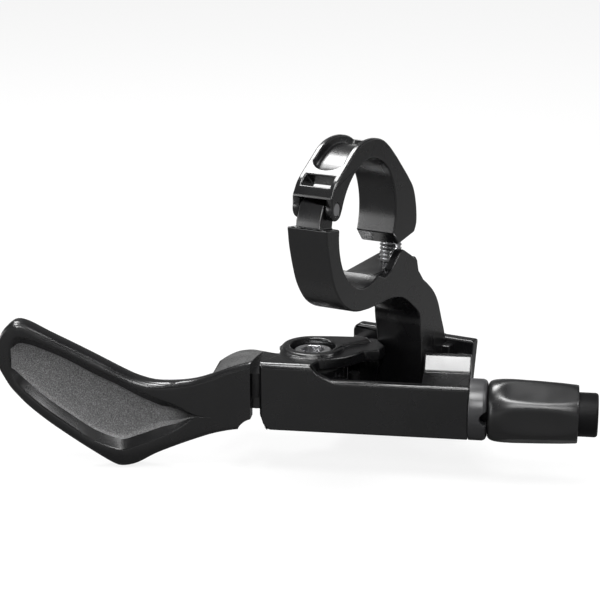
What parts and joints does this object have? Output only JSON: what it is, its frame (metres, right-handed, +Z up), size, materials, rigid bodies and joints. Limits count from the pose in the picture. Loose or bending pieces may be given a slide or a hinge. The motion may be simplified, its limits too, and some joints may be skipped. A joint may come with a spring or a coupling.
{
  "type": "dropper post remote lever",
  "caption": "Remote lever for a dropper seat post: bar clamp with a hinged cap, bracket with a pivoted thumb paddle, and a cable adjuster knob on its end.",
  "frame": {"origin": "centre of the bar clamp bore, halfway along the clamp's width", "axes": "+X along the handlebar, from the paddle's side to the cable's side; +Y forward, away from the rider; +Z up"},
  "size_m": [0.1001, 0.0626, 0.0643],
  "materials": {
    "black_body": "satin black anodised",
    "black_lever": "satin black with a sand-textured paddle",
    "grey_collar": "dark grey anodised",
    "black_plastic": "satin",
    "dark_steel": "black oxide",
    "bright_steel": "polished",
    "bush_plastic": "matt"
  },
  "bodies": {
    "base": {"bracket": "black_body", "clamp_lower": "black_body", "hinge_pin": "bright_steel", "clamp_bolt": "bright_steel", "clamp_washer": "dark_steel", "leg_bolt": "dark_steel", "leg_washer": "dark_steel", "pivot_bolt": "bright_steel", "pivot_washer": "dark_steel", "stop_pin": "dark_steel", "detent_collar": "grey_collar"},
    "clamp_cap": {"clamp_upper": "black_body"},
    "thumb_lever": {"lever": "black_lever", "bush_upper": "bush_plastic", "bush_lower": "bush_plastic", "anchor_screw": "dark_steel", "return_spring": "dark_steel"},
    "knob": {"adjuster_knob": "black_plastic", "adjuster_spring": "dark_steel"},
    "barrel": {"adjuster_barrel": "grey_collar"}
  },
  "joints": [
    {"name": "clamp_hinge", "type": "hinge", "parent": "base", "child": "clamp_cap", "pos_m": [0, -0.01215, 0.00503], "axis": [1, 0, 0], "range_deg": [-1.5, 0]},
    {"name": "lever_swing", "type": "hinge", "parent": "base", "child": "thumb_lever", "pos_m": [-0.0137, 0.0132, -0.0354], "axis": [0, 0, 1], "range_deg": [-38, 0], "stiffness_Nm_per_rad": 0.5, "springref_deg": 2.86},
    {"name": "adjuster_turn", "type": "hinge", "parent": "base", "child": "knob", "pos_m": [0.01896, 0.01893, -0.0373], "axis": [0.9426, 0.3338, 0], "range_deg": [0, 1800]},
    {"name": "adjuster_travel", "type": "slide", "parent": "knob", "child": "barrel", "axis": [0.9426, 0.3338, 0], "range_m": [0, 0.004]}
  ],
  "couplings": [
    {"joint": "adjuster_turn", "follows": "adjuster_travel", "rad_per_m": 7853.9}
  ]
}
